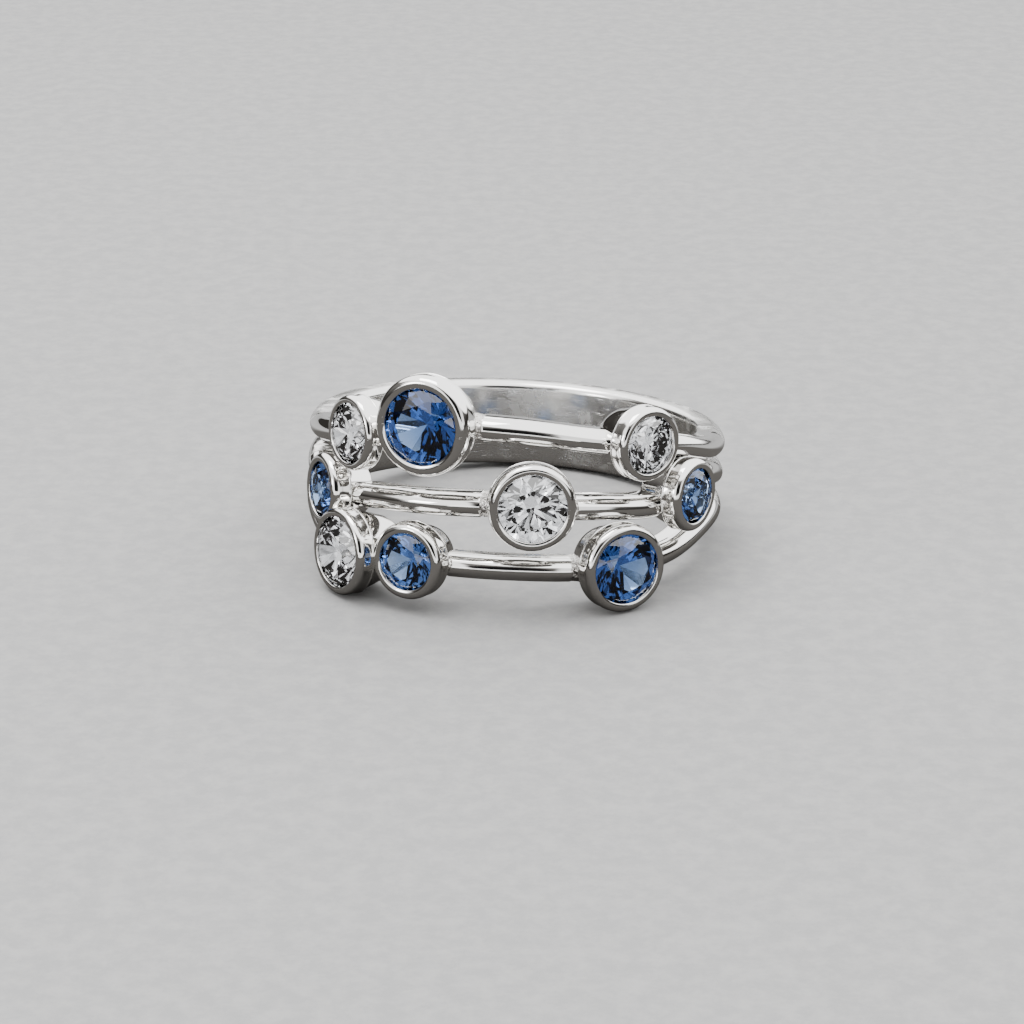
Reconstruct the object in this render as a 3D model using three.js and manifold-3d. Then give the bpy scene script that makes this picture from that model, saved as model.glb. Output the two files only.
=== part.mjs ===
// A ring with three wire strands at the front, soldered into one broad shank at the back, set with nine round stones.
// Millimetres. The ring is drawn with its finger hole along Z and its front towards -Y, then laid on its side at rest.
import * as THREE from 'three';
import { ConvexHull } from 'three/addons/math/ConvexHull.js';
import { mergeVertices } from 'three/addons/utils/BufferGeometryUtils.js';
import Module from 'manifold-3d';

const wasm = await Module();
wasm.setup();

// Driving dimensions of the ring
const finger_diameter = 17.3;
const strand_thickness = 1.4;
const strand_width = 1.17;
const strand_flat_share = 0.54;
const strand_spacing = 3.2;
const shank_thickness = 1.4;
const shank_width = 4.3;
const shank_edge_radius = 0.4;

// Driving dimensions of the settings. Heights along a cup are measured from the stone's girdle,
// and a cup's middle stands cup_rise above its strand's middle.
const largest_stone = 3.55;
const widest_rim = 0.58;
const highest_stand = 2.35;
const lip_height = 0.3;
const lip_overhang = 0.1;
const lip_top_share = 0.45;
const lip_fall_share = 0.85;
const lip_bend_share = 0.16;
const lip_bend_drop = 0.32;
const mouth_share = 0.12;
const cup_rise = 0.27;
const cup_wall_height = 0.6;
const cup_step = 0.07;
const cup_foot_share = 0.62;
const seat_clearance = 0.06;
const seat_width_share = 0.2;
const cup_foot_wall = 0.3;
const collar_length = 0.1;
const collar_swell = 0.06;

// Proportions of a round brilliant cut
const girdle_share = 0.03;
const table_share = 0.56;
const crown_angle = 34.5;
const pavilion_angle = 40.8;
const upper_girdle_rise = 5.5;
const star_drop = 11.5;
const lower_girdle_rise = 1.2;

// Where the strands leave the shank, in degrees from the front of the ring
const merge_from = 52;
const merge_to = 98;
const strand_end = 112;
const shank_start = 92;

// How finely round things are divided
const finger_sides = 72;
const strand_steps = 44;
const shank_steps = 26;
const section_steps = 3;
const cup_sides = 20;
const girdle_sides = 16;
const facet_turns = 8;
const collar_steps = 5;

// Height of each strand along the front, as shares of strand_spacing
const strand_heights = [
  { angle: -100, top: 0.56, middle: -0.24, bottom: -1.00 },
  { angle: -72, top: 0.62, middle: -0.36, bottom: -1.02 },
  { angle: -46, top: 0.76, middle: -0.14, bottom: -1.00 },
  { angle: -24, top: 1.08, middle: -0.04, bottom: -0.93 },
  { angle: 0, top: 1.12, middle: 0.03, bottom: -0.90 },
  { angle: 24, top: 0.98, middle: 0.00, bottom: -0.90 },
  { angle: 46, top: 0.83, middle: -0.03, bottom: -0.82 },
  { angle: 72, top: 0.63, middle: 0.30, bottom: -0.57 },
  { angle: 100, top: 0.58, middle: 0.20, bottom: -0.50 },
];

// Stones and their settings. angle: degrees from the front; stone: the diameter that shows, as a share of
// largest_stone; rim: width of the metal round it, as a share of widest_rim; stand: the girdle's height over the
// finger hole, as a share of highest_stand; turn: degrees turned outwards.
const setting_rows = [
  { name: 'clear_stone_top_left', strand: 'top', angle: -46, stone: 0.79, rim: 0.62, stand: 0.83, turn: 8 },
  { name: 'blue_stone_top', strand: 'top', angle: -23.6, stone: 1, rim: 1, stand: 0.94, turn: 0 },
  { name: 'clear_stone_top_right', strand: 'top', angle: 34.3, stone: 0.76, rim: 0.69, stand: 0.87, turn: 4 },
  { name: 'blue_stone_middle_left', strand: 'middle', angle: -59.1, stone: 0.73, rim: 0.76, stand: 0.745, turn: 5 },
  { name: 'clear_stone_middle', strand: 'middle', angle: 4.6, stone: 0.89, rim: 0.81, stand: 0.915, turn: 0 },
  { name: 'blue_stone_middle_right', strand: 'middle', angle: 51.8, stone: 0.73, rim: 0.76, stand: 0.83, turn: 4 },
  { name: 'clear_stone_bottom_left', strand: 'bottom', angle: -46.3, stone: 0.94, rim: 0.66, stand: 1, turn: 8 },
  { name: 'blue_stone_bottom_left', strand: 'bottom', angle: -26.4, stone: 0.75, rim: 0.83, stand: 0.87, turn: 1 },
  { name: 'blue_stone_bottom_right', strand: 'bottom', angle: 29.1, stone: 0.92, rim: 0.78, stand: 0.915, turn: 0 },
];
const settings = setting_rows.map((row) => ({
  ...row,
  stone: row.stone * largest_stone,
  rim: row.rim * widest_rim,
  stand: row.stand * highest_stand,
}));

const finger_radius = finger_diameter / 2;
const strand_middle = finger_radius + strand_thickness / 2;
const hole_allowance = 0.2;
const degrees = Math.PI / 180;

const white_metal = new THREE.MeshStandardMaterial({ color: 0xd6d4d0, roughness: 0.16, metalness: 1 });
const blue_gem = new THREE.MeshStandardMaterial({ color: 0x2f5fa8, roughness: 0.05, metalness: 0.1 });
const clear_gem = new THREE.MeshStandardMaterial({ color: 0xe8ecf2, roughness: 0.05, metalness: 0.1 });

// Turns a closed three.js geometry into a solid that can be joined and cut
function solid(geometry) {
  const bare = new THREE.BufferGeometry();
  bare.setAttribute('position', geometry.getAttribute('position'));
  if (geometry.index) {
    bare.setIndex(geometry.index);
  }
  const merged = mergeVertices(bare, 1e-5);
  const mesh = new wasm.Mesh({
    numProp: 3,
    vertProperties: new Float32Array(merged.getAttribute('position').array),
    triVerts: new Uint32Array(merged.index.array),
  });
  return new wasm.Manifold(mesh);
}

function geometry_of(shape) {
  const mesh = shape.getMesh();
  const geometry = new THREE.BufferGeometry();
  geometry.setAttribute('position', new THREE.Float32BufferAttribute(mesh.vertProperties, 3));
  geometry.setIndex(new THREE.BufferAttribute(mesh.triVerts, 1));
  geometry.computeVertexNormals();
  return geometry;
}

function smooth_step(value) {
  const t = Math.min(1, Math.max(0, value));
  return t * t * (3 - 2 * t);
}

// Height of a strand's middle at an angle from the front: its own line at the front, its lane of the shank at the sides
const height_curves = {};
for (const strand of ['top', 'middle', 'bottom']) {
  const points = strand_heights.map((row) => new THREE.Vector3(row.angle, row[strand], 0));
  height_curves[strand] = points;
}

function front_share(strand, angle) {
  const rows = height_curves[strand];
  const last = rows.length - 1;
  if (angle <= rows[0].x) {
    return rows[0].y;
  }
  if (angle >= rows[last].x) {
    return rows[last].y;
  }
  const next = rows.findIndex((row) => row.x > angle);
  const low = rows[next - 1];
  const high = rows[next];
  const before = rows[Math.max(0, next - 2)];
  const after = rows[Math.min(last, next + 1)];
  const span = high.x - low.x;
  const t = (angle - low.x) / span;
  const slope_low = (high.y - before.y) / (high.x - before.x) * span;
  const slope_high = (after.y - low.y) / (after.x - low.x) * span;
  const t2 = t * t;
  const t3 = t2 * t;
  return (2 * t3 - 3 * t2 + 1) * low.y + (t3 - 2 * t2 + t) * slope_low
    + (3 * t2 - 2 * t3) * high.y + (t3 - t2) * slope_high;
}

const lane_offset = (shank_width - strand_width) / 2;
const lanes = { top: lane_offset, middle: 0, bottom: -lane_offset };

function strand_height(strand, angle) {
  const merged = smooth_step((Math.abs(angle) - merge_from) / (merge_to - merge_from));
  return (1 - merged) * strand_spacing * front_share(strand, angle) + merged * lanes[strand];
}

// Bends a straight bar round the finger: x runs outwards, y along the finger and z round the ring
function bent_bar(section, from, to, steps, height_at) {
  const bar = new THREE.ExtrudeGeometry(section, { depth: 1, steps, bevelEnabled: false, curveSegments: section_steps });
  const place = bar.getAttribute('position');
  for (let i = 0; i < place.count; i += 1) {
    const angle = to - (to - from) * place.getZ(i);
    const radius = place.getX(i);
    const height = place.getY(i) + height_at(angle);
    place.setXYZ(i, radius * Math.sin(angle * degrees), -radius * Math.cos(angle * degrees), height);
  }
  return solid(bar);
}

// A strand's section: flat towards the finger, domed outside
function strand_section(grow) {
  const half = strand_width / 2 + grow;
  const inside = finger_radius - hole_allowance;
  const flat_end = finger_radius + strand_thickness * strand_flat_share;
  const dome = strand_thickness * (1 - strand_flat_share) + grow;
  const shape = new THREE.Shape();
  shape.moveTo(inside, -half);
  shape.lineTo(flat_end, -half);
  shape.absellipse(flat_end, 0, dome, half, -Math.PI / 2, Math.PI / 2, false);
  shape.lineTo(inside, half);
  shape.closePath();
  return shape;
}

// The shank's section: a flat broad band with rounded outer edges
function shank_section() {
  const half = shank_width / 2;
  const inside = finger_radius - hole_allowance;
  const outside = finger_radius + shank_thickness;
  const edge = Math.min(shank_edge_radius, half, shank_thickness);
  const shape = new THREE.Shape();
  shape.moveTo(inside, -half);
  shape.lineTo(outside - edge, -half);
  shape.absarc(outside - edge, -half + edge, edge, -Math.PI / 2, 0, false);
  shape.absarc(outside - edge, half - edge, edge, 0, Math.PI / 2, false);
  shape.lineTo(inside, half);
  shape.closePath();
  return shape;
}

// A setting's own frame: the girdle's middle, with Y pointing out of the ring along the stone's axis
function setting_frame(row) {
  const angle = row.angle * degrees;
  const facing = angle + Math.sign(angle) * row.turn * degrees;
  const reach = finger_radius + row.stand;
  const place = new THREE.Vector3(
    reach * Math.sin(angle),
    -reach * Math.cos(angle),
    strand_height(row.strand, row.angle) + cup_rise,
  );
  const axis = new THREE.Vector3(Math.sin(facing), -Math.cos(facing), 0);
  const side = new THREE.Vector3(0, 0, 1).cross(axis).negate();
  const up = new THREE.Vector3().crossVectors(side, axis);
  return new THREE.Matrix4().makeBasis(side, axis, up).setPosition(place);
}

function lathed(profile, row) {
  const points = profile.map(([radius, height]) => new THREE.Vector2(radius, height));
  const geometry = new THREE.LatheGeometry(points, cup_sides);
  geometry.applyMatrix4(setting_frame(row));
  return solid(geometry);
}

function stone_radius(row) {
  return row.stone / 2 + lip_overhang;
}

// How far a setting reaches down to the finger hole, with an allowance that the finger hole cuts away
function cup_depth(row) {
  return row.stand + 3 * hole_allowance;
}

// The cup's outer form: rolled rim, straight wall, a fine step and a cone down to its foot
function cup_body(row) {
  const outer = row.stone / 2 + row.rim;
  const lip = row.stone / 2;
  const foot = outer * cup_foot_share;
  const wall_top = lip_height - row.rim * lip_fall_share;
  const wall_end = wall_top - cup_wall_height;
  const bend = row.rim * lip_bend_share;
  const crest = lip + row.rim * lip_top_share;
  return lathed([
    [0, -cup_depth(row)],
    [foot, -cup_depth(row)],
    [outer - cup_step, wall_end - cup_step],
    [outer, wall_end],
    [outer, wall_top],
    [outer - bend, lip_height - row.rim * lip_bend_drop],
    [crest, lip_height],
    [0, lip_height],
  ], row);
}

// What is cut out of the cup: the mouth inside the lip, the seat of the stone and the open back
function cup_hollow(row) {
  const lip = row.stone / 2;
  const bore = stone_radius(row) + seat_clearance;
  const girdle = girdle_share * stone_radius(row);
  const lip_under = girdle + (lip_overhang + seat_clearance) * Math.tan(crown_angle * degrees) + seat_clearance;
  const ledge = bore * (1 - seat_width_share);
  const ledge_drop = girdle + bore * seat_width_share * Math.tan(pavilion_angle * degrees) + seat_clearance;
  const outer_foot = (row.stone / 2 + row.rim) * cup_foot_share;
  const hole = outer_foot - cup_foot_wall;
  const above = 1;
  const mouth = lip + row.rim * mouth_share;
  return lathed([
    [0, -cup_depth(row) - above],
    [hole, -cup_depth(row) - above],
    [hole, -cup_depth(row)],
    [ledge, -ledge_drop],
    [bore, -girdle - seat_clearance],
    [bore, girdle + seat_clearance],
    [lip, lip_under],
    [mouth, lip_height],
    [mouth, lip_height + above],
    [0, lip_height + above],
  ], row);
}

// The sleeve of solder round the strand where it enters a cup, on both sides of it
function collar(row) {
  const half = (row.stone / 2 + row.rim + collar_length) / strand_middle / degrees;
  return bent_bar(strand_section(collar_swell), row.angle - half, row.angle + half, collar_steps,
    (at) => strand_height(row.strand, at));
}

// A round brilliant: a short cylinder cut by its facet planes
function brilliant(row) {
  const radius = stone_radius(row);
  const girdle = girdle_share * radius;
  const tall = radius * 2;
  let stone = solid(new THREE.CylinderGeometry(radius, radius, tall, girdle_sides));
  const cut = (turn, slope, edge, side) => {
    const tilt = slope * degrees;
    const normal = new THREE.Vector3(Math.sin(tilt) * Math.cos(turn), side * Math.cos(tilt), Math.sin(tilt) * Math.sin(turn));
    stone = stone.trimByPlane([-normal.x, -normal.y, -normal.z], -edge * Math.sin(tilt) - girdle * Math.cos(tilt));
  };
  const table_radius = table_share * radius;
  const crown_height = (radius - table_radius) * Math.tan(crown_angle * degrees);
  for (let i = 0; i < facet_turns; i += 1) {
    const turn = (2 * Math.PI * i) / facet_turns;
    const half_turn = Math.PI / facet_turns;
    const quarter_turn = half_turn / 2;
    const narrow = Math.cos(quarter_turn);
    cut(turn, crown_angle, radius, 1);
    cut(turn, pavilion_angle, radius, -1);
    for (const hand of [-1, 1]) {
      cut(turn + hand * quarter_turn, crown_angle + upper_girdle_rise, radius * narrow, 1);
      cut(turn + hand * quarter_turn, pavilion_angle + lower_girdle_rise, radius * narrow, -1);
    }
    const star_slope = crown_angle - star_drop;
    const star_edge = table_radius * Math.cos(half_turn) + crown_height / Math.tan(star_slope * degrees);
    cut(turn + half_turn, star_slope, star_edge, 1);
  }
  stone = stone.trimByPlane([0, -1, 0], -(crown_height + girdle));
  const geometry = geometry_of(stone);
  geometry.applyMatrix4(setting_frame(row));
  return geometry;
}

// The metal: shank, strands, collars and cups joined, then the hollows and the finger hole cut out
function ring_metal() {
  let metal = bent_bar(shank_section(), shank_start, 360 - shank_start, shank_steps, () => 0);
  for (const strand of ['top', 'middle', 'bottom']) {
    const height_at = (angle) => strand_height(strand, angle);
    metal = metal.add(bent_bar(strand_section(0), -strand_end, strand_end, strand_steps, height_at));
  }
  for (const row of settings) {
    metal = metal.add(collar(row)).add(cup_body(row));
  }
  for (const row of settings) {
    metal = metal.subtract(cup_hollow(row));
  }
  const bore_length = 4 * (strand_spacing + shank_width);
  const finger = new THREE.CylinderGeometry(finger_radius, finger_radius, bore_length, finger_sides);
  finger.rotateY(Math.PI / finger_sides);
  finger.rotateX(Math.PI / 2);
  return geometry_of(metal.subtract(solid(finger)));
}

function add_piece(group, name, geometry, material) {
  const mesh = new THREE.Mesh(geometry, material);
  mesh.name = name;
  group.add(mesh);
}

// Middle of a closed mesh's volume
function volume_middle(geometry) {
  const place = geometry.getAttribute('position');
  const corners = geometry.index.array;
  const a = new THREE.Vector3();
  const b = new THREE.Vector3();
  const c = new THREE.Vector3();
  const sum = new THREE.Vector3();
  let total = 0;
  for (let i = 0; i < corners.length; i += 3) {
    a.fromBufferAttribute(place, corners[i]);
    b.fromBufferAttribute(place, corners[i + 1]);
    c.fromBufferAttribute(place, corners[i + 2]);
    const volume = a.dot(new THREE.Vector3().crossVectors(b, c)) / 6;
    total += volume;
    sum.addScaledVector(new THREE.Vector3().add(a).add(b).add(c), volume / 4);
  }
  return sum.divideScalar(total);
}

// The way down when the ring lies on its side: the face of its hull that lies under its middle
function way_down(geometry) {
  const place = geometry.getAttribute('position');
  const points = [];
  for (let i = 0; i < place.count; i += 1) {
    points.push(new THREE.Vector3().fromBufferAttribute(place, i));
  }
  const hull = new ConvexHull().setFromPoints(points);
  const middle = volume_middle(geometry);
  for (const face of hull.faces) {
    if (face.normal.z > -0.8) {
      continue;
    }
    const foot = middle.clone().addScaledVector(face.normal, -(face.normal.dot(middle) - face.constant));
    let inside = true;
    let edge = face.edge;
    do {
      const start = edge.tail().point;
      const end = edge.head().point;
      const side = new THREE.Vector3().subVectors(end, start).cross(new THREE.Vector3().subVectors(foot, start));
      if (side.dot(face.normal) < 0) {
        inside = false;
      }
      edge = edge.next;
    } while (edge !== face.edge);
    if (inside) {
      return face.normal.clone();
    }
  }
  return new THREE.Vector3(0, 0, -1);
}

const ring = new THREE.Group();
const metal_geometry = ring_metal();
add_piece(ring, 'ring_metal', metal_geometry, white_metal);
for (const row of settings) {
  add_piece(ring, row.name, brilliant(row), row.name.startsWith('blue') ? blue_gem : clear_gem);
}

// Lays the ring down and puts the origin under the middle of its box
ring.quaternion.setFromUnitVectors(way_down(metal_geometry), new THREE.Vector3(0, 0, -1));
ring.updateMatrixWorld(true);
const box = new THREE.Box3().setFromObject(ring, true);
ring.position.set(-(box.min.x + box.max.x) / 2, -(box.min.y + box.max.y) / 2, -box.min.z);

const part = new THREE.Group();
part.add(ring);
part.updateMatrixWorld(true);

export default part;
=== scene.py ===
"""A finger ring: three wire strands with nine bezel cups at the front, one broad shank at the back.

Pieces are drawn in the ring's own frame, in millimetres: the finger hole along Z, the front towards -Y.
They are then carried into the frame in which the ring lies on its side.
"""
import bpy
import math
import numpy as np
from mathutils import Matrix, Vector, noise


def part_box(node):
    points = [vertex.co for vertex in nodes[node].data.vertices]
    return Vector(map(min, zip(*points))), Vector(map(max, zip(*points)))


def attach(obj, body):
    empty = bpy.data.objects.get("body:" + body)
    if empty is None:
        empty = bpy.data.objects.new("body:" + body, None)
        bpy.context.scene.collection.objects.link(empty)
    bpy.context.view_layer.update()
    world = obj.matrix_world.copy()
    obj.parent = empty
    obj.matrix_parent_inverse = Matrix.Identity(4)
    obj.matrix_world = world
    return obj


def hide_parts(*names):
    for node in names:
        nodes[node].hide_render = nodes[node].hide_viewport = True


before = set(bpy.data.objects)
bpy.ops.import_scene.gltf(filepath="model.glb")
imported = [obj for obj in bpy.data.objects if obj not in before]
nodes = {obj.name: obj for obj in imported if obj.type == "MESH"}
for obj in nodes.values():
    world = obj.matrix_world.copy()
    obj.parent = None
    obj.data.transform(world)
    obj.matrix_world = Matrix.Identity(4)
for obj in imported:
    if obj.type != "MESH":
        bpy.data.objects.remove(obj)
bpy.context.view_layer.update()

# Sizes of the band, in millimetres
FINGER_RADIUS = 8.65
STRAND_THICKNESS = 1.4
STRAND_WIDTH = 1.17
STRAND_SPACING = 3.2
SHANK_THICKNESS = 1.4
SHANK_WIDTH = 4.3
STRAND_MIDDLE = FINGER_RADIUS + STRAND_THICKNESS / 2

# Sizes of the settings
LARGEST_STONE = 3.55
WIDEST_RIM = 0.58
HIGHEST_STAND = 2.35
LIP_HEIGHT = 0.3
LIP_OVERHANG = 0.1
CUP_RISE = 0.27
CUP_WALL = 0.6
LIP_FALL_SHARE = 0.85
CUP_STEP = 0.07
CUP_FOOT_SHARE = 0.62
CUP_FOOT_WALL = 0.3
SEAT_CLEARANCE = 0.06
SEAT_WIDTH_SHARE = 0.2
HOLE_ALLOWANCE = 0.2

# The cut of the stones
GIRDLE_SHARE = 0.03
CROWN_SLOPE = math.radians(34.5)
PAVILION_SLOPE = math.radians(40.8)

# Where the strands run into the shank, in degrees from the front
MERGE_FROM = 52
MERGE_TO = 98
FORK_START = 84
STRAND_END = FORK_START + 1.5
FORK_END = 116

MM = 0.001

STRANDS = ("top", "middle", "bottom")

# Height of each strand along the front, as shares of the spacing: angle, top, middle, bottom
STRAND_HEIGHTS = {
    "angle": (-100, -72, -46, -24, 0, 24, 46, 72, 100),
    "top": (0.56, 0.62, 0.76, 1.08, 1.12, 0.98, 0.83, 0.63, 0.58),
    "middle": (-0.24, -0.36, -0.14, -0.04, 0.03, 0.00, -0.03, 0.30, 0.20),
    "bottom": (-1.00, -1.02, -1.00, -0.93, -0.90, -0.90, -0.82, -0.57, -0.50),
}

# Settings: stone node, strand, degrees from the front, shares of the largest stone, rim and stand,
# and degrees turned outward
SETTING_KEYS = ("name", "strand", "angle", "stone", "rim", "stand", "turn")
SETTING_ROWS = (
    ("clear_stone_top_left", "top", -46, 0.79, 0.62, 0.83, 8),
    ("blue_stone_top", "top", -23.6, 1, 1, 0.94, 0),
    ("clear_stone_top_right", "top", 34.3, 0.76, 0.69, 0.87, 4),
    ("blue_stone_middle_left", "middle", -59.1, 0.73, 0.76, 0.745, 5),
    ("clear_stone_middle", "middle", 4.6, 0.89, 0.81, 0.915, 0),
    ("blue_stone_middle_right", "middle", 51.8, 0.73, 0.76, 0.83, 4),
    ("clear_stone_bottom_left", "bottom", -46.3, 0.94, 0.66, 1, 8),
    ("blue_stone_bottom_left", "bottom", -26.4, 0.75, 0.83, 0.87, 1),
    ("blue_stone_bottom_right", "bottom", 29.1, 0.92, 0.78, 0.915, 0),
)
SETTINGS = [dict(zip(SETTING_KEYS, row)) for row in SETTING_ROWS]
for row in SETTINGS:
    row["stone"] *= LARGEST_STONE
    row["rim"] *= WIDEST_RIM
    row["stand"] *= HIGHEST_STAND


# The ring's frame

def smooth_step(value):
    t = np.clip(value, 0.0, 1.0)
    return t * t * (3 - 2 * t)


def strand_height(strand, angle):
    """Height of a strand's middle at an angle from the front, in degrees."""
    angles = STRAND_HEIGHTS["angle"]
    shares = STRAND_HEIGHTS[strand]
    last = len(angles) - 1
    if angle <= angles[0]:
        share = shares[0]
    elif angle >= angles[last]:
        share = shares[last]
    else:
        high = next(i for i in range(len(angles)) if angles[i] > angle)
        low = high - 1
        before = max(0, low - 1)
        after = min(last, high + 1)
        span = angles[high] - angles[low]
        t = (angle - angles[low]) / span
        slope_low = (shares[high] - shares[before]) / (angles[high] - angles[before]) * span
        slope_high = (shares[after] - shares[low]) / (angles[after] - angles[low]) * span
        share = ((2 * t ** 3 - 3 * t ** 2 + 1) * shares[low] + (t ** 3 - 2 * t ** 2 + t) * slope_low
                 + (3 * t ** 2 - 2 * t ** 3) * shares[high] + (t ** 3 - t ** 2) * slope_high)
    lane = (SHANK_WIDTH - STRAND_WIDTH) / 2
    lanes = {"top": lane, "middle": 0.0, "bottom": -lane}
    merged = float(smooth_step((abs(angle) - MERGE_FROM) / (MERGE_TO - MERGE_FROM)))
    return (1 - merged) * STRAND_SPACING * share + merged * lanes[strand]


def setting_axes(row):
    """The girdle's middle and the setting's side, axis and up directions."""
    angle = row["angle"]
    facing = math.radians(angle + math.copysign(row["turn"], angle))
    reach = FINGER_RADIUS + row["stand"]
    at = math.radians(angle)
    height = strand_height(row["strand"], angle) + CUP_RISE
    place = np.array([reach * math.sin(at), -reach * math.cos(at), height])
    axis = np.array([math.sin(facing), -math.cos(facing), 0.0])
    side = -np.cross([0.0, 0.0, 1.0], axis)
    return place, side, axis, np.cross(side, axis)


def ring_to_row():
    """The move that carries the ring's own frame to where the ring lies, found from the stones' points."""
    drawn = []
    placed = []
    low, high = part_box("ring_metal")
    middle = np.array((low + high) / 2)
    for row in SETTINGS:
        place, _, axis, _ = setting_axes(row)
        radius = row["stone"] / 2 + LIP_OVERHANG
        drawn.append((place - axis * radius * (GIRDLE_SHARE + math.tan(PAVILION_SLOPE))) * MM)
        points = np.array([v.co for v in nodes[row["name"]].data.vertices])
        nearest = np.argmin(np.linalg.norm(points - middle, axis=1))
        placed.append(points[nearest])
    drawn = np.array(drawn)
    placed = np.array(placed)
    drawn_middle = drawn.mean(0)
    placed_middle = placed.mean(0)
    u, _, vt = np.linalg.svd((drawn - drawn_middle).T @ (placed - placed_middle))
    keep_hand = np.diag([1.0, 1.0, np.sign(np.linalg.det(vt.T @ u.T))])
    turn = vt.T @ keep_hand @ u.T
    return turn, placed_middle - turn @ drawn_middle


TURN, SHIFT = ring_to_row()


def to_row(points):
    """Points in the ring's frame, in mm, as points where the ring lies, in metres."""
    return (np.asarray(points) * MM) @ TURN.T + SHIFT


# Camera at the photograph's angle to the ring

PHOTO_SIDE = 1024
CAMERA_ELEVATION = math.radians(13.0)
CAMERA_ROLL = math.radians(2.9)
CAMERA_DISTANCE = 170.0
RING_SCALE = 20.58
RING_CENTRE_PX = (515.76, 462.04)
SENSOR = 36.0


def add_camera():
    back = np.array([0.0, -math.cos(CAMERA_ELEVATION), math.sin(CAMERA_ELEVATION)])
    level_up = np.array([0.0, math.sin(CAMERA_ELEVATION), math.cos(CAMERA_ELEVATION)])
    level_right = np.array([1.0, 0.0, 0.0])
    right = math.cos(CAMERA_ROLL) * level_right + math.sin(CAMERA_ROLL) * level_up
    up = -math.sin(CAMERA_ROLL) * level_right + math.cos(CAMERA_ROLL) * level_up
    focal = RING_SCALE * CAMERA_DISTANCE
    aside = RING_CENTRE_PX[0] - PHOTO_SIDE / 2
    above = PHOTO_SIDE / 2 - RING_CENTRE_PX[1]
    forward = -back * focal - right * aside - up * above
    forward /= np.linalg.norm(forward)
    right = np.cross(forward, up)
    right /= np.linalg.norm(right)
    up = np.cross(right, forward)
    basis = TURN @ np.column_stack([right, up, -forward])
    place = to_row(back * CAMERA_DISTANCE)
    camera = bpy.data.cameras.new("camera")
    camera.sensor_width = SENSOR
    camera.lens = focal / PHOTO_SIDE * SENSOR
    camera.clip_start = 0.005
    camera.clip_end = 20.0
    holder = bpy.data.objects.new("camera", camera)
    matrix = Matrix([[*basis[i], place[i]] for i in range(3)] + [[0, 0, 0, 1]])
    holder.matrix_world = matrix
    bpy.context.scene.collection.objects.link(holder)
    bpy.context.scene.camera = holder


add_camera()


# Node groups and materials

def node(tree, kind, inputs=None, **settings):
    """A shader node with its settings and inputs; an input that is a socket is linked."""
    made = tree.nodes.new(kind)
    for name, value in settings.items():
        setattr(made, name, value)
    for name, value in (inputs or {}).items():
        if isinstance(value, bpy.types.NodeSocket):
            tree.links.new(value, made.inputs[name])
        else:
            made.inputs[name].default_value = value
    return made


def new_group(name, inputs, outputs):
    tree = bpy.data.node_groups.new(name, "ShaderNodeTree")
    for label, value in inputs.items():
        kind = "NodeSocketColor" if isinstance(value, tuple) else "NodeSocketFloat"
        socket = tree.interface.new_socket(label, in_out="INPUT", socket_type=kind)
        socket.default_value = value
    for label, kind in outputs.items():
        tree.interface.new_socket(label, in_out="OUTPUT", socket_type=kind)
    return tree, tree.nodes.new("NodeGroupInput"), tree.nodes.new("NodeGroupOutput")


def ramp(tree, value, low, high):
    """A smooth mask that is 0 below low and 1 above high."""
    mapped = node(tree, "ShaderNodeMapRange", {"Value": value, "From Min": low, "From Max": high},
                  interpolation_type="SMOOTHSTEP")
    return mapped.outputs["Result"]


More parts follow.
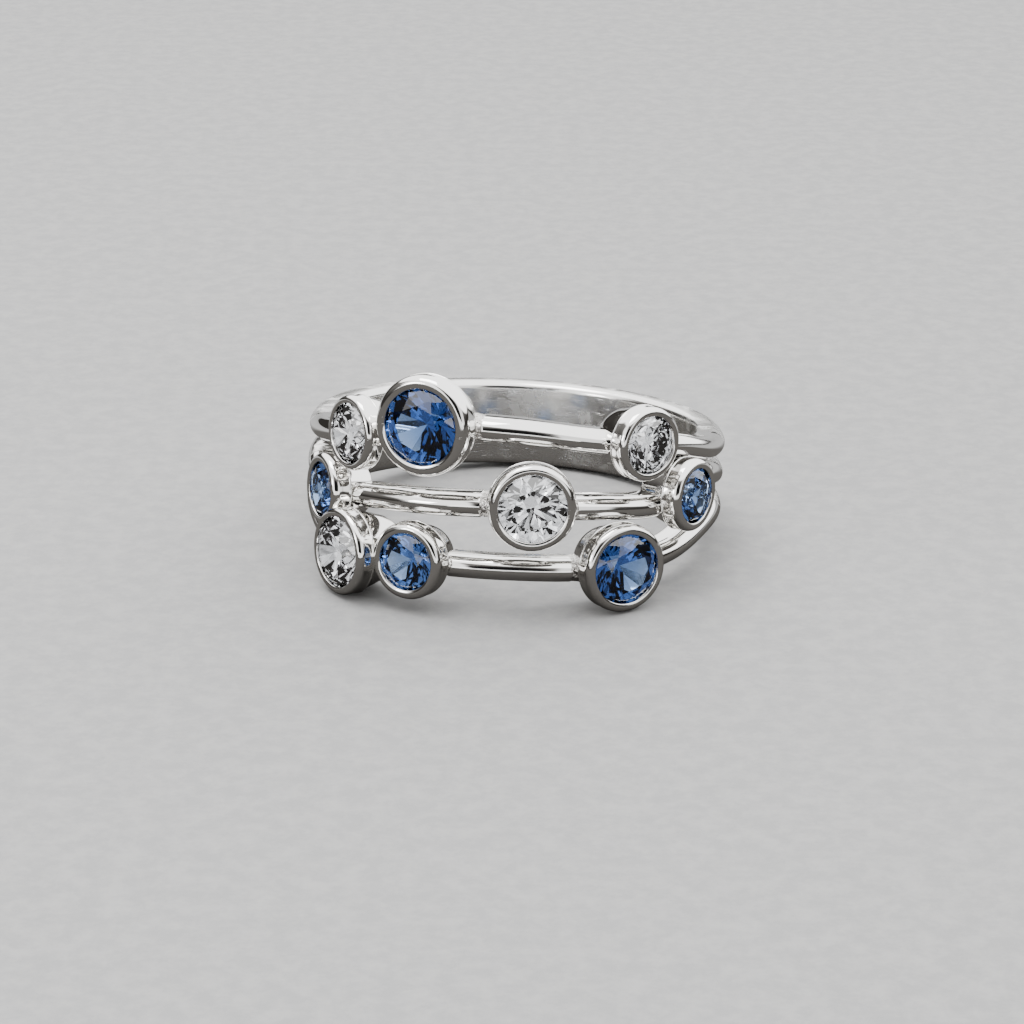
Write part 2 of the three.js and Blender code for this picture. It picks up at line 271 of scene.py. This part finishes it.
def polish_wear_group():
    """Hand-polished metal after some wear: soft smears, hairline scratches and a faint ripple."""
    tree, source, sink = new_group(
        "polish_wear",
        {"Roughness": 0.08, "Smears": 0.1, "Scratches": 0.3, "Metal Color": (0.8, 0.8, 0.8, 1.0),
         "Tarnish Color": (0.5, 0.48, 0.45, 1.0), "Tarnish": 0.2},
        {"Color": "NodeSocketColor", "Roughness": "NodeSocketFloat", "Height": "NodeSocketFloat"})
    place = node(tree, "ShaderNodeTexCoord").outputs["Object"]
    smears = node(tree, "ShaderNodeTexNoise",
                  {"Vector": place, "Scale": 420.0, "Detail": 4.0, "Roughness": 0.6, "Distortion": 0.8})
    smear_mask = ramp(tree, smears.outputs["Fac"], 0.45, 0.75)
    long_way = node(tree, "ShaderNodeMapping", {"Vector": place, "Rotation": (0.35, 0.25, 0.0),
                                                "Scale": (1.0, 1.0, 22.0)})
    hairs = node(tree, "ShaderNodeTexNoise",
                 {"Vector": long_way.outputs["Vector"], "Scale": 1100.0, "Detail": 2.0, "Roughness": 0.5,
                  "Distortion": 0.3})
    hair_mask = ramp(tree, hairs.outputs["Fac"], 0.62, 0.8)
    hair_height = node(tree, "ShaderNodeMath", {0: hair_mask, 1: source.outputs["Scratches"]},
                       operation="MULTIPLY")
    rippled = node(tree, "ShaderNodeTexNoise", {"Vector": place, "Scale": 900.0, "Detail": 2.0})
    height = node(tree, "ShaderNodeMath", {0: rippled.outputs["Fac"], 1: hair_height.outputs[0]},
                  operation="SUBTRACT")
    rough_part = node(tree, "ShaderNodeMath", {0: smear_mask, 1: source.outputs["Smears"]},
                      operation="MULTIPLY")
    rough_hair = node(tree, "ShaderNodeMath", {0: hair_height.outputs[0], 1: 0.25, 2: rough_part.outputs[0]},
                      operation="MULTIPLY_ADD")
    rough = node(tree, "ShaderNodeMath", {0: source.outputs["Roughness"], 1: rough_hair.outputs[0]},
                 operation="ADD")
    # Clouds of tarnish colour; on the solder this dark colour is painted shade of the crevices
    cloud = node(tree, "ShaderNodeTexNoise",
                 {"Vector": place, "Scale": 260.0, "Detail": 5.0, "Roughness": 0.65})
    tarnish_and_shade_mask = ramp(tree, cloud.outputs["Fac"], 0.5, 0.8)
    tarnish_and_shade = node(tree, "ShaderNodeMath", {0: tarnish_and_shade_mask, 1: source.outputs["Tarnish"]},
                   operation="MULTIPLY")
    color = node(tree, "ShaderNodeMix", {"Factor": tarnish_and_shade.outputs[0], 6: source.outputs["Metal Color"],
                                         7: source.outputs["Tarnish Color"]}, data_type="RGBA")
    tree.links.new(color.outputs[2], sink.inputs["Color"])
    tree.links.new(rough.outputs[0], sink.inputs["Roughness"])
    tree.links.new(height.outputs[0], sink.inputs["Height"])
    return tree


def crystal_group():
    """Uneven body colour of a cut stone: soft growth bands and clouds."""
    tree, source, sink = new_group(
        "crystal_colour",
        {"Body Color": (0.5, 0.5, 0.8, 1.0), "Band Color": (0.8, 0.8, 1.0, 1.0), "Bands": 0.5,
         "Scale": 600.0},
        {"Color": "NodeSocketColor", "Roughness": "NodeSocketFloat"})
    place = node(tree, "ShaderNodeTexCoord").outputs["Object"]
    slanted = node(tree, "ShaderNodeMapping", {"Vector": place, "Rotation": (0.4, 0.9, 0.3),
                                               "Scale": (1.0, 0.35, 0.6)})
    clouds = node(tree, "ShaderNodeTexNoise",
                  {"Vector": slanted.outputs["Vector"], "Scale": source.outputs["Scale"], "Detail": 3.0,
                   "Distortion": 0.5})
    mask = ramp(tree, clouds.outputs["Fac"], 0.35, 0.68)
    amount = node(tree, "ShaderNodeMath", {0: mask, 1: source.outputs["Bands"]}, operation="MULTIPLY")
    color = node(tree, "ShaderNodeMix", {"Factor": amount.outputs[0], 6: source.outputs["Body Color"],
                                         7: source.outputs["Band Color"]}, data_type="RGBA")
    dust = node(tree, "ShaderNodeTexNoise", {"Vector": place, "Scale": 2600.0, "Detail": 2.0})
    dusty = ramp(tree, dust.outputs["Fac"], 0.6, 0.78)
    rough = node(tree, "ShaderNodeMath", {0: dusty, 1: 0.03}, operation="MULTIPLY")
    tree.links.new(color.outputs[2], sink.inputs["Color"])
    tree.links.new(rough.outputs[0], sink.inputs["Roughness"])
    return tree


POLISH_WEAR = polish_wear_group()
CRYSTAL = crystal_group()


def empty_material(name):
    material = bpy.data.materials.new(name)
    material.use_nodes = True
    tree = material.node_tree
    tree.nodes.clear()
    shader = node(tree, "ShaderNodeBsdfPrincipled")
    output = node(tree, "ShaderNodeOutputMaterial")
    tree.links.new(shader.outputs["BSDF"], output.inputs["Surface"])
    return material, tree, shader


# The tarnish colour is real tarnish on the strands, cups and shank, and painted crevice shade on the solder
def metal(name, color, tarnish_and_shade_color, roughness, smears, scratches, tarnish_and_shade, bump, grain=0.0):
    material, tree, shader = empty_material(name)
    shader.inputs["Metallic"].default_value = 1.0
    wear = node(tree, "ShaderNodeGroup", node_tree=POLISH_WEAR)
    for label, value in (("Roughness", roughness), ("Smears", smears), ("Scratches", scratches),
                         ("Metal Color", color), ("Tarnish Color", tarnish_and_shade_color), ("Tarnish", tarnish_and_shade)):
        wear.inputs[label].default_value = value
    height = wear.outputs["Height"]
    if grain:
        place = node(tree, "ShaderNodeTexCoord").outputs["Object"]
        grains = node(tree, "ShaderNodeTexVoronoi", {"Vector": place, "Scale": 7600.0})
        lumps = node(tree, "ShaderNodeMath", {0: grains.outputs["Distance"], 1: grain, 2: height},
                     operation="MULTIPLY_ADD")
        height = lumps.outputs[0]
    bumped = node(tree, "ShaderNodeBump", {"Strength": 1.0, "Distance": bump, "Height": height})
    tree.links.new(wear.outputs["Color"], shader.inputs["Base Color"])
    tree.links.new(wear.outputs["Roughness"], shader.inputs["Roughness"])
    tree.links.new(bumped.outputs["Normal"], shader.inputs["Normal"])
    return material


def gem(name, body, bands, amount, scale, ior, absorb=None, density=0.0):
    material, tree, shader = empty_material(name)
    shader.inputs["Transmission Weight"].default_value = 1.0
    shader.inputs["IOR"].default_value = ior
    crystal = node(tree, "ShaderNodeGroup", node_tree=CRYSTAL)
    for label, value in (("Body Color", body), ("Band Color", bands), ("Bands", amount), ("Scale", scale)):
        crystal.inputs[label].default_value = value
    tree.links.new(crystal.outputs["Color"], shader.inputs["Base Color"])
    tree.links.new(crystal.outputs["Roughness"], shader.inputs["Roughness"])
    if absorb:
        depth = node(tree, "ShaderNodeVolumeAbsorption", {"Color": absorb, "Density": density})
        tree.links.new(depth.outputs["Volume"], tree.nodes["Material Output"].inputs["Volume"])
    return material


STRAND_METAL = metal("polished_strand_metal", (0.86, 0.85, 0.83, 1.0), (0.5, 0.46, 0.42, 1.0),
                     0.04, 0.08, 0.4, 0.25, 1.5e-6)
CUP_METAL = metal("polished_cup_metal", (0.88, 0.87, 0.85, 1.0), (0.52, 0.48, 0.44, 1.0),
                  0.05, 0.08, 0.4, 0.2, 2.0e-6)
SHANK_METAL = metal("polished_shank_metal", (0.85, 0.84, 0.82, 1.0), (0.48, 0.44, 0.4, 1.0),
                    0.15, 0.24, 0.7, 0.35, 3.0e-6)
# Solder: grainy cast metal whose dark base and near-black tarnish colour are painted shade of the crevices
# where strands meet cups
SOLDER_METAL_WITH_PAINTED_SHADE = metal("cast_solder_with_painted_shade", (0.6, 0.58, 0.56, 1.0), (0.16, 0.145, 0.13, 1.0),
                     0.24, 0.12, 0.4, 0.9, 2.6e-5, grain=1.6)
BLUE_GEM = gem("blue_gem", (0.5, 0.64, 0.86, 1.0), (0.7, 0.8, 0.94, 1.0), 0.8, 700.0, 1.77,
               (0.15, 0.36, 0.62, 1.0), 820.0)
CLEAR_GEM = gem("clear_gem", (0.93, 0.955, 1.0, 1.0), (0.99, 0.99, 1.0, 1.0), 0.6, 500.0, 2.42)


# Making and placing the pieces

def metal_piece(name, points, faces, material, sharp=40.0):
    """A metal piece from points in the ring's frame; it stands for part of the ring's metal solid."""
    mesh = bpy.data.meshes.new(name)
    mesh.from_pydata(to_row(points).tolist(), [], faces)
    mesh.validate()
    mesh.materials.append(material)
    mesh.shade_smooth()
    mesh.set_sharp_from_angle(angle=math.radians(sharp))
    made = bpy.data.objects.new(name, mesh)
    bpy.context.scene.collection.objects.link(made)
    return made


def claim(made):
    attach(made, "root")
    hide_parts("ring_metal")


def swept(sections):
    """Points and faces of a closed tube through sections that all have as many points; flat ends."""
    count, around, _ = sections.shape
    faces = []
    for i in range(count - 1):
        for j in range(around):
            k = (j + 1) % around
            faces.append((i * around + j, i * around + k, (i + 1) * around + k, (i + 1) * around + j))
    faces.append(tuple(range(around - 1, -1, -1)))
    faces.append(tuple((count - 1) * around + j for j in range(around)))
    return sections.reshape(-1, 3), faces


def turned(sections):
    """Points and faces of a ring of sections, closed both ways."""
    count, around, _ = sections.shape
    faces = []
    for i in range(count):
        n = (i + 1) % count
        for j in range(around):
            k = (j + 1) % around
            faces.append((i * around + j, i * around + k, n * around + k, n * around + j))
    return sections.reshape(-1, 3), faces


def on_band(radius, angle, height):
    """Points round the finger: radius and height in mm, angle in degrees from the front."""
    at = np.radians(angle)
    return np.stack([radius * np.sin(at), -radius * np.cos(at), height + 0 * at], axis=-1)


def arc(middle, radii, start, end, steps):
    """Points of an elliptical arc, angles in degrees."""
    at = np.radians(np.linspace(start, end, steps))
    return [(middle[0] + radii[0] * math.cos(a), middle[1] + radii[1] * math.sin(a)) for a in at]


# A strand's section, in millimetres
STRAND_FLAT_SHARE = 0.54
STRAND_STEP = 0.03
STEP_DROP = 0.02
INNER_EDGE = 0.1
EDGE_POINTS = 5
DOME_POINTS = 33


def strand_outline(grow=0.0):
    """A strand's section, as distance out and height: flat inside, a fine step, domed outside."""
    half = STRAND_WIDTH / 2 + grow
    flat = STRAND_THICKNESS * STRAND_FLAT_SHARE
    dome_out = STRAND_THICKNESS * (1 - STRAND_FLAT_SHARE) + grow
    edge = INNER_EDGE
    points = arc((edge, -half + edge), (edge, edge), 180, 270, EDGE_POINTS)
    points += [(flat - STEP_DROP, -half)]
    points += arc((flat, 0), (dome_out, half - STRAND_STEP), -90, 90, DOME_POINTS)
    points += [(flat - STEP_DROP, half)]
    points += arc((edge, half - edge), (edge, edge), 90, 180, EDGE_POINTS)
    return np.array(points)


# Settings

CUP_TURNS = 96
INNER_RIM_POINTS = 10
RIM_POINTS = 14
RIM_CREST = 0.4
RIM_FALL = 0.2

# The small bead that runs round a cup where its wall meets the cone, in millimetres
BEAD = 0.035
BEAD_HEIGHT = 0.05
BEAD_INSET = 0.03
BEAD_POINTS = 7


def cup_sizes(row):
    lip = row["stone"] / 2
    outer = lip + row["rim"]
    radius = lip + LIP_OVERHANG
    bore = radius + SEAT_CLEARANCE
    girdle = GIRDLE_SHARE * radius
    return {
        "lip": lip,
        "outer": outer,
        "foot": outer * CUP_FOOT_SHARE,
        "hole": outer * CUP_FOOT_SHARE - CUP_FOOT_WALL,
        "depth": row["stand"] + 3 * HOLE_ALLOWANCE,
        "wall_end": LIP_HEIGHT - CUP_WALL - row["rim"] * LIP_FALL_SHARE,
        "bore": bore,
        "girdle": girdle,
        "lip_under": girdle + (LIP_OVERHANG + SEAT_CLEARANCE) * math.tan(CROWN_SLOPE) + SEAT_CLEARANCE,
        "ledge": bore * (1 - SEAT_WIDTH_SHARE),
        "ledge_drop": girdle + bore * SEAT_WIDTH_SHARE * math.tan(PAVILION_SLOPE) + SEAT_CLEARANCE,
    }


def cup_outline(row):
    """The cup's section from the seat's ledge over the lip and rim to the top of the cone, and both feet."""
    s = cup_sizes(row)
    rim = row["rim"]
    crest = s["lip"] + RIM_CREST * rim
    inner_fall = min(RIM_FALL, LIP_HEIGHT - s["lip_under"] - 0.02)
    shoulder = LIP_HEIGHT - LIP_FALL_SHARE * rim
    outline = [(s["ledge"], -s["ledge_drop"]), (s["bore"], -s["girdle"] - SEAT_CLEARANCE),
               (s["bore"], s["girdle"] + SEAT_CLEARANCE), (s["lip"], s["lip_under"])]
    outline += arc((crest, LIP_HEIGHT - inner_fall), (crest - s["lip"] - 0.01, inner_fall), 180, 90,
                   INNER_RIM_POINTS)
    outline += arc((crest, shoulder), (s["outer"] - crest, LIP_HEIGHT - shoulder), 90, 0, RIM_POINTS)[1:]
    wall_end = s["wall_end"]
    wall = s["outer"] - BEAD_INSET
    step = s["outer"] - CUP_STEP
    outline += [(s["outer"] - 0.005, shoulder - 0.12), (wall, wall_end + 0.12)]
    outline += arc((wall, wall_end + BEAD_HEIGHT), (BEAD, BEAD_HEIGHT), 80, -80, BEAD_POINTS)
    outline += [(step - 0.02, wall_end - 0.02), (step - 0.03, wall_end - 0.08)]
    return outline, s


def around_setting(row, radius, height, turn):
    """Points on the setting's lathe at a radius, a height along its axis and turns in radians."""
    place, side, axis, up = setting_axes(row)
    spread = np.outer(np.cos(turn), side) + np.outer(np.sin(turn), up)
    return place + np.reshape(radius, (-1, 1)) * spread + np.outer(np.broadcast_to(height, turn.shape), axis)


def down_to_finger(row, start, end, turn):
    """Where lines down the setting, from start to end in radius and height, meet the finger hole."""
    low = np.zeros(len(turn))
    high = np.ones(len(turn))
    for _ in range(24):
        middle = (low + high) / 2
        radius = start[0] + (end[0] - start[0]) * middle
        height = start[1] + (end[1] - start[1]) * middle
        place, side, axis, up = setting_axes(row)
        points = (place + radius[:, None] * (np.outer(np.cos(turn), side) + np.outer(np.sin(turn), up))
                  + height[:, None] * axis)
        outside = np.hypot(points[:, 0], points[:, 1]) > FINGER_RADIUS
        low = np.where(outside, middle, low)
        high = np.where(outside, high, middle)
    return points


def add_cup(row):
    outline, s = cup_outline(row)
    turn = np.linspace(0, 2 * math.pi, CUP_TURNS, endpoint=False)
    rings = [around_setting(row, np.full(CUP_TURNS, radius), height, turn) for radius, height in outline]
    cone_top = outline[-1]
    outer_foot = down_to_finger(row, cone_top, (s["foot"], -s["depth"]), turn)
    inner_foot = down_to_finger(row, (s["ledge"], -s["ledge_drop"]), (s["hole"], -s["depth"]), turn)
    top_ring = rings[-1]
    for share in (0.35, 0.7, 0.95):
        rings.append(top_ring + (outer_foot - top_ring) * share)
    rings.append(outer_foot + (inner_foot - outer_foot) * 0.08)
    rings.append(inner_foot + (outer_foot - inner_foot) * 0.08)
    for share in (0.95, 0.5):
        rings.append(rings[0] + (inner_foot - rings[0]) * share)
    sections = np.array(rings).transpose(1, 0, 2)
    points, faces = turned(sections)
    name = row["name"].replace("_stone", "") + "_cup"
    made = metal_piece(name, points, faces, CUP_METAL)
    claim(made)


def wall_reach(row):
    """Distance from the setting's axis to inside its wall, where the strand stops unseen."""
    s = cup_sizes(row)
    return (s["ledge"] + s["hole"]) / 2 + INTO_WALL


# Strands, solder and shank

STRAND_STEPS = 260
INTO_WALL = 0.12
JOINT_NECK = 0.07
JOINT_EDGE = 0.025

# Where extra sections go round a strand's end at the solder, in shares of its small rounded edge
JOINT_STEPS = (-0.4, -0.05, 0.6, 1.0)

# How far past the cup's wall the strand ends, in mm, on the setting's left and right
JOINT_PAST = {
    "clear_stone_top_left": (-0.2, -0.3),
    "blue_stone_top": (-0.2, -0.05),
    "clear_stone_top_right": (-0.55, -0.3),
    "blue_stone_middle_left": (-0.2, -0.04),
    "clear_stone_middle": (0.16, 0.02),
    "blue_stone_middle_right": (-0.36, -0.2),
    "clear_stone_bottom_left": (-0.2, -0.3),
    "blue_stone_bottom_left": (-0.3, -0.32),
    "blue_stone_bottom_right": (-0.08, -0.1),
}


def joint_reach(row, hand):
    """Distance along the strand from the setting's middle to where the strand ends at the solder."""
    return cup_sizes(row)["outer"] + JOINT_PAST[row["name"]][0 if hand < 0 else 1]


def joint_distance(row, angle):
    """How far along the strand, in mm, an angle lies past the setting's solder."""
    hand = -1 if angle < row["angle"] else 1
    return math.radians(abs(angle - row["angle"])) * STRAND_MIDDLE - joint_reach(row, hand)


def strand_spans(rows):
    """Where a strand starts and stops: it runs from wall to wall of its settings."""
    spans = []
    start = -STRAND_END
    for row in sorted(rows, key=lambda row: row["angle"]):
        inside = math.degrees(wall_reach(row) / STRAND_MIDDLE)
        spans.append((start, row["angle"] - inside))
        start = row["angle"] + inside
    spans.append((start, STRAND_END))
    return spans


def strand_angles(rows):
    """Angles of a strand's sections, closer together where the strand ends at the solder of a setting."""
    angles = list(np.linspace(-STRAND_END, STRAND_END, STRAND_STEPS))
    angles += [hand * (FORK_START + step) for hand in (-1, 1) for step in (0.0, 0.1)]
    for row in rows:
        for hand in (-1, 1):
            for step in JOINT_STEPS:
                reach = joint_reach(row, hand) + JOINT_EDGE * step
                angles.append(row["angle"] + hand * math.degrees(reach / STRAND_MIDDLE))
    return sorted(angles)


def strand_neck(rows, angle):
    """How much thinner the strand is at an angle: necked in inside the solder and inside the shank."""
    if abs(angle) > FORK_START:
        return -JOINT_EDGE
    away = min(joint_distance(row, angle) for row in rows)
    if away < -JOINT_EDGE * 0.3:
        return -JOINT_NECK
    return -JOINT_EDGE * (1 - math.sqrt(max(0.0, 1 - max(0.0, 1 - away / JOINT_EDGE) ** 2)))


def add_strand(strand):
    rows = [row for row in SETTINGS if row["strand"] == strand]
    every_angle = strand_angles(rows)
    for count, (start, end) in enumerate(strand_spans(rows), 1):
        sections = []
        for angle in [start] + [at for at in every_angle if start < at < end] + [end]:
            outline = strand_outline(strand_neck(rows, angle))
            if abs(angle) > FORK_START:
                outline[:, 0] = np.maximum(outline[:, 0], JOINT_EDGE)
            sections.append(on_band(FINGER_RADIUS + outline[:, 0], np.full(len(outline), angle),
                                    outline[:, 1] + strand_height(strand, angle)))
        points, faces = swept(np.array(sections))
        made = metal_piece("%s_strand_%d" % (strand, count), points, faces, STRAND_METAL)
        claim(made)


# Solder, in millimetres; grain and finer grain are lumps to the millimetre
SOLDER_STEPS = 30
SOLDER_LENGTH = 0.6
SOLDER_OVERLAP = 0.03
SOLDER_START = -0.045
SOLDER_SWELL = 0.1
SOLDER_LUMP = 0.04
SOLDER_GRAIN = 7.5
FINER_GRAIN = 2.3
FINER_SHARE = 0.6


def add_solder(row):
    """The lumpy solder where the strand enters the cup, on one side and the other."""
    for hand, side in ((-1, "left"), (1, "right")):
        reach = joint_reach(row, hand) + SOLDER_OVERLAP
        start = row["angle"] + hand * math.degrees(reach / STRAND_MIDDLE)
        last = max(reach - SOLDER_LENGTH, wall_reach(row))
        end = row["angle"] + hand * math.degrees(last / STRAND_MIDDLE)
        sections = []
        for i in range(SOLDER_STEPS):
            t = i / (SOLDER_STEPS - 1)
            angle = start + (end - start) * t
            outline = strand_outline(SOLDER_START + SOLDER_SWELL * max(0.0, t - 0.3))
            height = strand_height(row["strand"], angle)
            points = on_band(FINGER_RADIUS + outline[:, 0], np.full(len(outline), angle),
                             outline[:, 1] + height)
            middle = on_band(np.array([STRAND_MIDDLE]), np.array([angle]), np.array([height]))[0]
            for j, point in enumerate(points):
                out = point - middle
                length = np.linalg.norm(out)
                place = Vector(point)
                lump = noise.noise(place * SOLDER_GRAIN)
                lump += FINER_SHARE * noise.noise(place * FINER_GRAIN * SOLDER_GRAIN)
                inside = outline[j, 0] < 0.15
                amount = 0.0 if inside else SOLDER_LUMP * lump * min(1.0, t * 8)
                points[j] = point + out / length * amount
            sections.append(points)
        points, faces = swept(np.array(sections if hand < 0 else sections[::-1]))
        name = row["name"].replace("_stone", "") + "_solder_" + side
        # The solder's material holds painted crevice shade in its colour
        made = metal_piece(name, points, faces, SOLDER_METAL_WITH_PAINTED_SHADE, 60.0)
        claim(made)


SHANK_STEPS = 200
SHANK_ACROSS = 72
COMFORT_EDGE = 0.36
OUTER_EDGE = 0.42
CROWN = 0.05
EDGE_STEPS = 9

# The webs between the strands at the fork: thickness in mm, taper in degrees and full thickness as a share
WEB_EDGE = 0.12
WEB_TAPER = 7
WEB_SHARE = 0.8


def fork_filled(angle):
    """How far the grooves between the strands have filled up: 0 at the fork, 1 where the shank is plain."""
    return float(smooth_step((abs(angle) - FORK_START) / (FORK_END - FORK_START)))


def shank_outside(share, angle):
    """Heights across the shank and how far its outer face lies from the finger hole there."""
    low = strand_height("bottom", angle) - STRAND_WIDTH / 2
    high = strand_height("top", angle) + STRAND_WIDTH / 2
    height = low + (high - low) * share
    from_edge = np.minimum(height - low, high - height)
    into_edge = np.clip(OUTER_EDGE - from_edge, 0, None)
    rounded = OUTER_EDGE - np.sqrt(np.clip(OUTER_EDGE ** 2 - into_edge ** 2, 0, None))
    flat = SHANK_THICKNESS - rounded - CROWN * (2 * share - 1) ** 2
    grooved = np.zeros_like(height)
    base = STRAND_THICKNESS * STRAND_FLAT_SHARE
    for strand in STRANDS:
        offset = (height - strand_height(strand, angle)) / (STRAND_WIDTH / 2)
        dome = base + STRAND_THICKNESS * (1 - STRAND_FLAT_SHARE) * np.sqrt(np.clip(1 - offset ** 2, 0, None))
        grooved = np.maximum(grooved, np.where(np.abs(offset) <= 1.0, dome, 0.0))
    web = WEB_EDGE + base * WEB_SHARE * float(smooth_step((abs(angle) - FORK_START) / WEB_TAPER))
    grooved = np.clip(grooved, web, None)
    filled = fork_filled(angle)
    return height, (1 - filled) * grooved + filled * flat


def add_shank():
    sections = []
    angles = np.linspace(FORK_START, 360 - FORK_START, SHANK_STEPS)
    share = np.linspace(0, 1, SHANK_ACROSS)
    share = 0.5 - 0.5 * np.cos(math.pi * share)
    for angle in angles:
        signed = angle if angle <= 180 else angle - 360
        height, out = shank_outside(share, signed)
        low, high = height[0], height[-1]
        edge = INNER_EDGE + (COMFORT_EDGE - INNER_EDGE) * fork_filled(signed)
        inside = arc((edge, high - edge), (edge, edge), 90, 180, EDGE_STEPS)
        inside += arc((edge, low + edge), (edge, edge), 180, 270, EDGE_STEPS)
        inside = np.array(inside)
        radius = np.concatenate([out, inside[:, 0]])
        heights = np.concatenate([height, inside[:, 1]])
        sections.append(on_band(FINGER_RADIUS + radius, np.full(len(radius), signed), heights))
    points, faces = swept(np.array(sections))
    made = metal_piece("back_shank", points, faces, SHANK_METAL, 50.0)
    claim(made)


for strand_name in STRANDS:
    add_strand(strand_name)
add_shank()
for setting in SETTINGS:
    add_cup(setting)
    add_solder(setting)

for setting in SETTINGS:
    stone = nodes[setting["name"]]
    stone.data.materials.clear()
    stone.data.materials.append(BLUE_GEM if setting["name"].startswith("blue") else CLEAR_GEM)
    stone.data.shade_flat()


# Floor, world and lights

def grey(level, warmth=0.0):
    return (level * (1 + warmth), level, level * (1 - warmth), 1.0)


def blend(tree, mask, below, above):
    mixed = node(tree, "ShaderNodeMix", {"Factor": mask, 6: below, 7: above}, data_type="RGBA")
    return mixed.outputs[2]


def both(tree, first, second):
    return node(tree, "ShaderNodeMath", {0: first, 1: second}, operation="MULTIPLY").outputs[0]


# Between these places, in metres from the ring's middle towards its back, the floor's painted dark
# reflection turns pale
PAINTED_REFLECTION_PALE_BEHIND = (0.009, 0.02)
FLOOR_SIDE = 3.0


def add_floor():
    """A pale matt floor whose colour in reflections is painted darker, as painted shade in the polished
    metal, except behind the ring; through the stones it is painted a little lighter.
    """
    material, tree, shader = empty_material("pale_floor")
    place = node(tree, "ShaderNodeTexCoord").outputs["Object"]
    specks = node(tree, "ShaderNodeTexNoise",
                  {"Vector": place, "Scale": 900.0, "Detail": 4.0, "Roughness": 0.7})
    pale = blend(tree, ramp(tree, specks.outputs["Fac"], 0.35, 0.7), grey(0.32), grey(0.37, 0.01))
    path = node(tree, "ShaderNodeLightPath")
    back = node(tree, "ShaderNodeSeparateXYZ", {"Vector": place}).outputs["Y"]
    # Painted reflection shade: rays other than camera rays see the floor dark in front of the ring and pale
    # behind it
    painted_reflection_shade = blend(tree, ramp(tree, back, *PAINTED_REFLECTION_PALE_BEHIND), grey(0.05, 0.05), grey(0.24))
    pale_with_painted_reflection = blend(tree, path.outputs["Is Camera Ray"], painted_reflection_shade, pale)
    # Painted light: seen through the stones the floor is lighter
    shade = blend(tree, path.outputs["Is Transmission Ray"], pale_with_painted_reflection, grey(0.4))
    tree.links.new(shade, shader.inputs["Base Color"])
    shader.inputs["Roughness"].default_value = 0.8
    shader.inputs["Specular IOR Level"].default_value = 0.0
    half = FLOOR_SIDE / 2
    corners = [(-half, -half, 0), (half, -half, 0), (half, half, 0), (-half, half, 0)]
    mesh = bpy.data.meshes.new("floor")
    mesh.from_pydata(corners, [], [(0, 1, 2, 3)])
    mesh.materials.append(material)
    floor = bpy.data.objects.new("floor", mesh)
    bpy.context.scene.collection.objects.link(floor)


# The dark place behind the camera and the white ceiling, as parts of a sphere of radius 1
DARK_MIDDLE = (0.0, -0.9, 0.44)
DARK_REACH = (0.44, 0.5, 0.31)
CEILING_MIDDLE = (0.22, 0.4, 0.89)
CEILING_EDGE = 0.5


def add_world():
    """A studio with a white ceiling, a white panel on each side and a dark place behind the camera."""
    world = bpy.data.worlds.new("studio")
    bpy.context.scene.world = world
    world.use_nodes = True
    tree = world.node_tree
    tree.nodes.clear()
    way = node(tree, "ShaderNodeTexCoord").outputs["Generated"]
    parts = node(tree, "ShaderNodeSeparateXYZ", {"Vector": way})
    x, y, z = (parts.outputs[axis] for axis in "XYZ")
    left = node(tree, "ShaderNodeMath", {0: x, 1: -1.0}, operation="MULTIPLY").outputs[0]
    wall = blend(tree, ramp(tree, z, 0.1, 0.5), grey(0.03, 0.08), grey(0.16, 0.04))
    height = both(tree, ramp(tree, z, 0.06, 0.14), ramp(tree, y, 0.1, -0.1))
    left_panel = both(tree, both(tree, ramp(tree, left, 0.34, 0.42), ramp(tree, left, 0.9, 0.82)), height)
    wall = blend(tree, left_panel, wall, grey(1.8))
    right_panel = both(tree, both(tree, ramp(tree, x, 0.4, 0.48), ramp(tree, x, 0.86, 0.78)), height)
    wall = blend(tree, right_panel, wall, grey(1.3))
    above = node(tree, "ShaderNodeVectorMath", {0: way, 1: CEILING_MIDDLE}, operation="DOT_PRODUCT")
    ceiling = blend(tree, ramp(tree, above.outputs["Value"], CEILING_EDGE - 0.04, CEILING_EDGE + 0.04),
                    wall, grey(2.6))
    scale = tuple(1 / reach for reach in DARK_REACH)
    shift = tuple(-at * by for at, by in zip(DARK_MIDDLE, scale))
    around = node(tree, "ShaderNodeMapping", {"Vector": way, "Location": shift, "Scale": scale})
    away = node(tree, "ShaderNodeVectorMath", {0: around.outputs["Vector"]}, operation="LENGTH")
    dark = ramp(tree, away.outputs["Value"], 0.8, 1.0)
    path = node(tree, "ShaderNodeLightPath")
    seen_in_stones = blend(tree, ramp(tree, away.outputs["Value"], 1.1, 1.3), grey(0.01), grey(1.3))
    studio = blend(tree, dark, grey(0.01), ceiling)
    light = blend(tree, path.outputs["Is Transmission Ray"], studio, seen_in_stones)
    background = node(tree, "ShaderNodeBackground", {"Color": light, "Strength": 1.25})
    output = node(tree, "ShaderNodeOutputWorld")
    tree.links.new(background.outputs["Background"], output.inputs["Surface"])


def add_light(name, place, aim, size, power):
    """A soft oblong light; place, aim and size in metres."""
    light = bpy.data.lights.new(name, "AREA")
    light.shape = "RECTANGLE"
    light.size, light.size_y = size
    light.energy = power
    holder = bpy.data.objects.new(name, light)
    holder.location = place
    way = Vector(aim) - Vector(place)
    holder.rotation_euler = way.to_track_quat("-Z", "Y").to_euler()
    bpy.context.scene.collection.objects.link(holder)


add_floor()
add_world()
add_light("overhead_softbox", (-0.06, 0.02, 0.24), (0, 0, 0.005), (0.12, 0.12), 0.35)
add_light("side_softbox", (-0.2, -0.14, 0.1), (0, 0, 0.005), (0.06, 0.06), 0.12)
add_light("front_strip", (0.0, -0.28, 0.035), (0, 0, 0.01), (0.4, 0.05), 0.12)
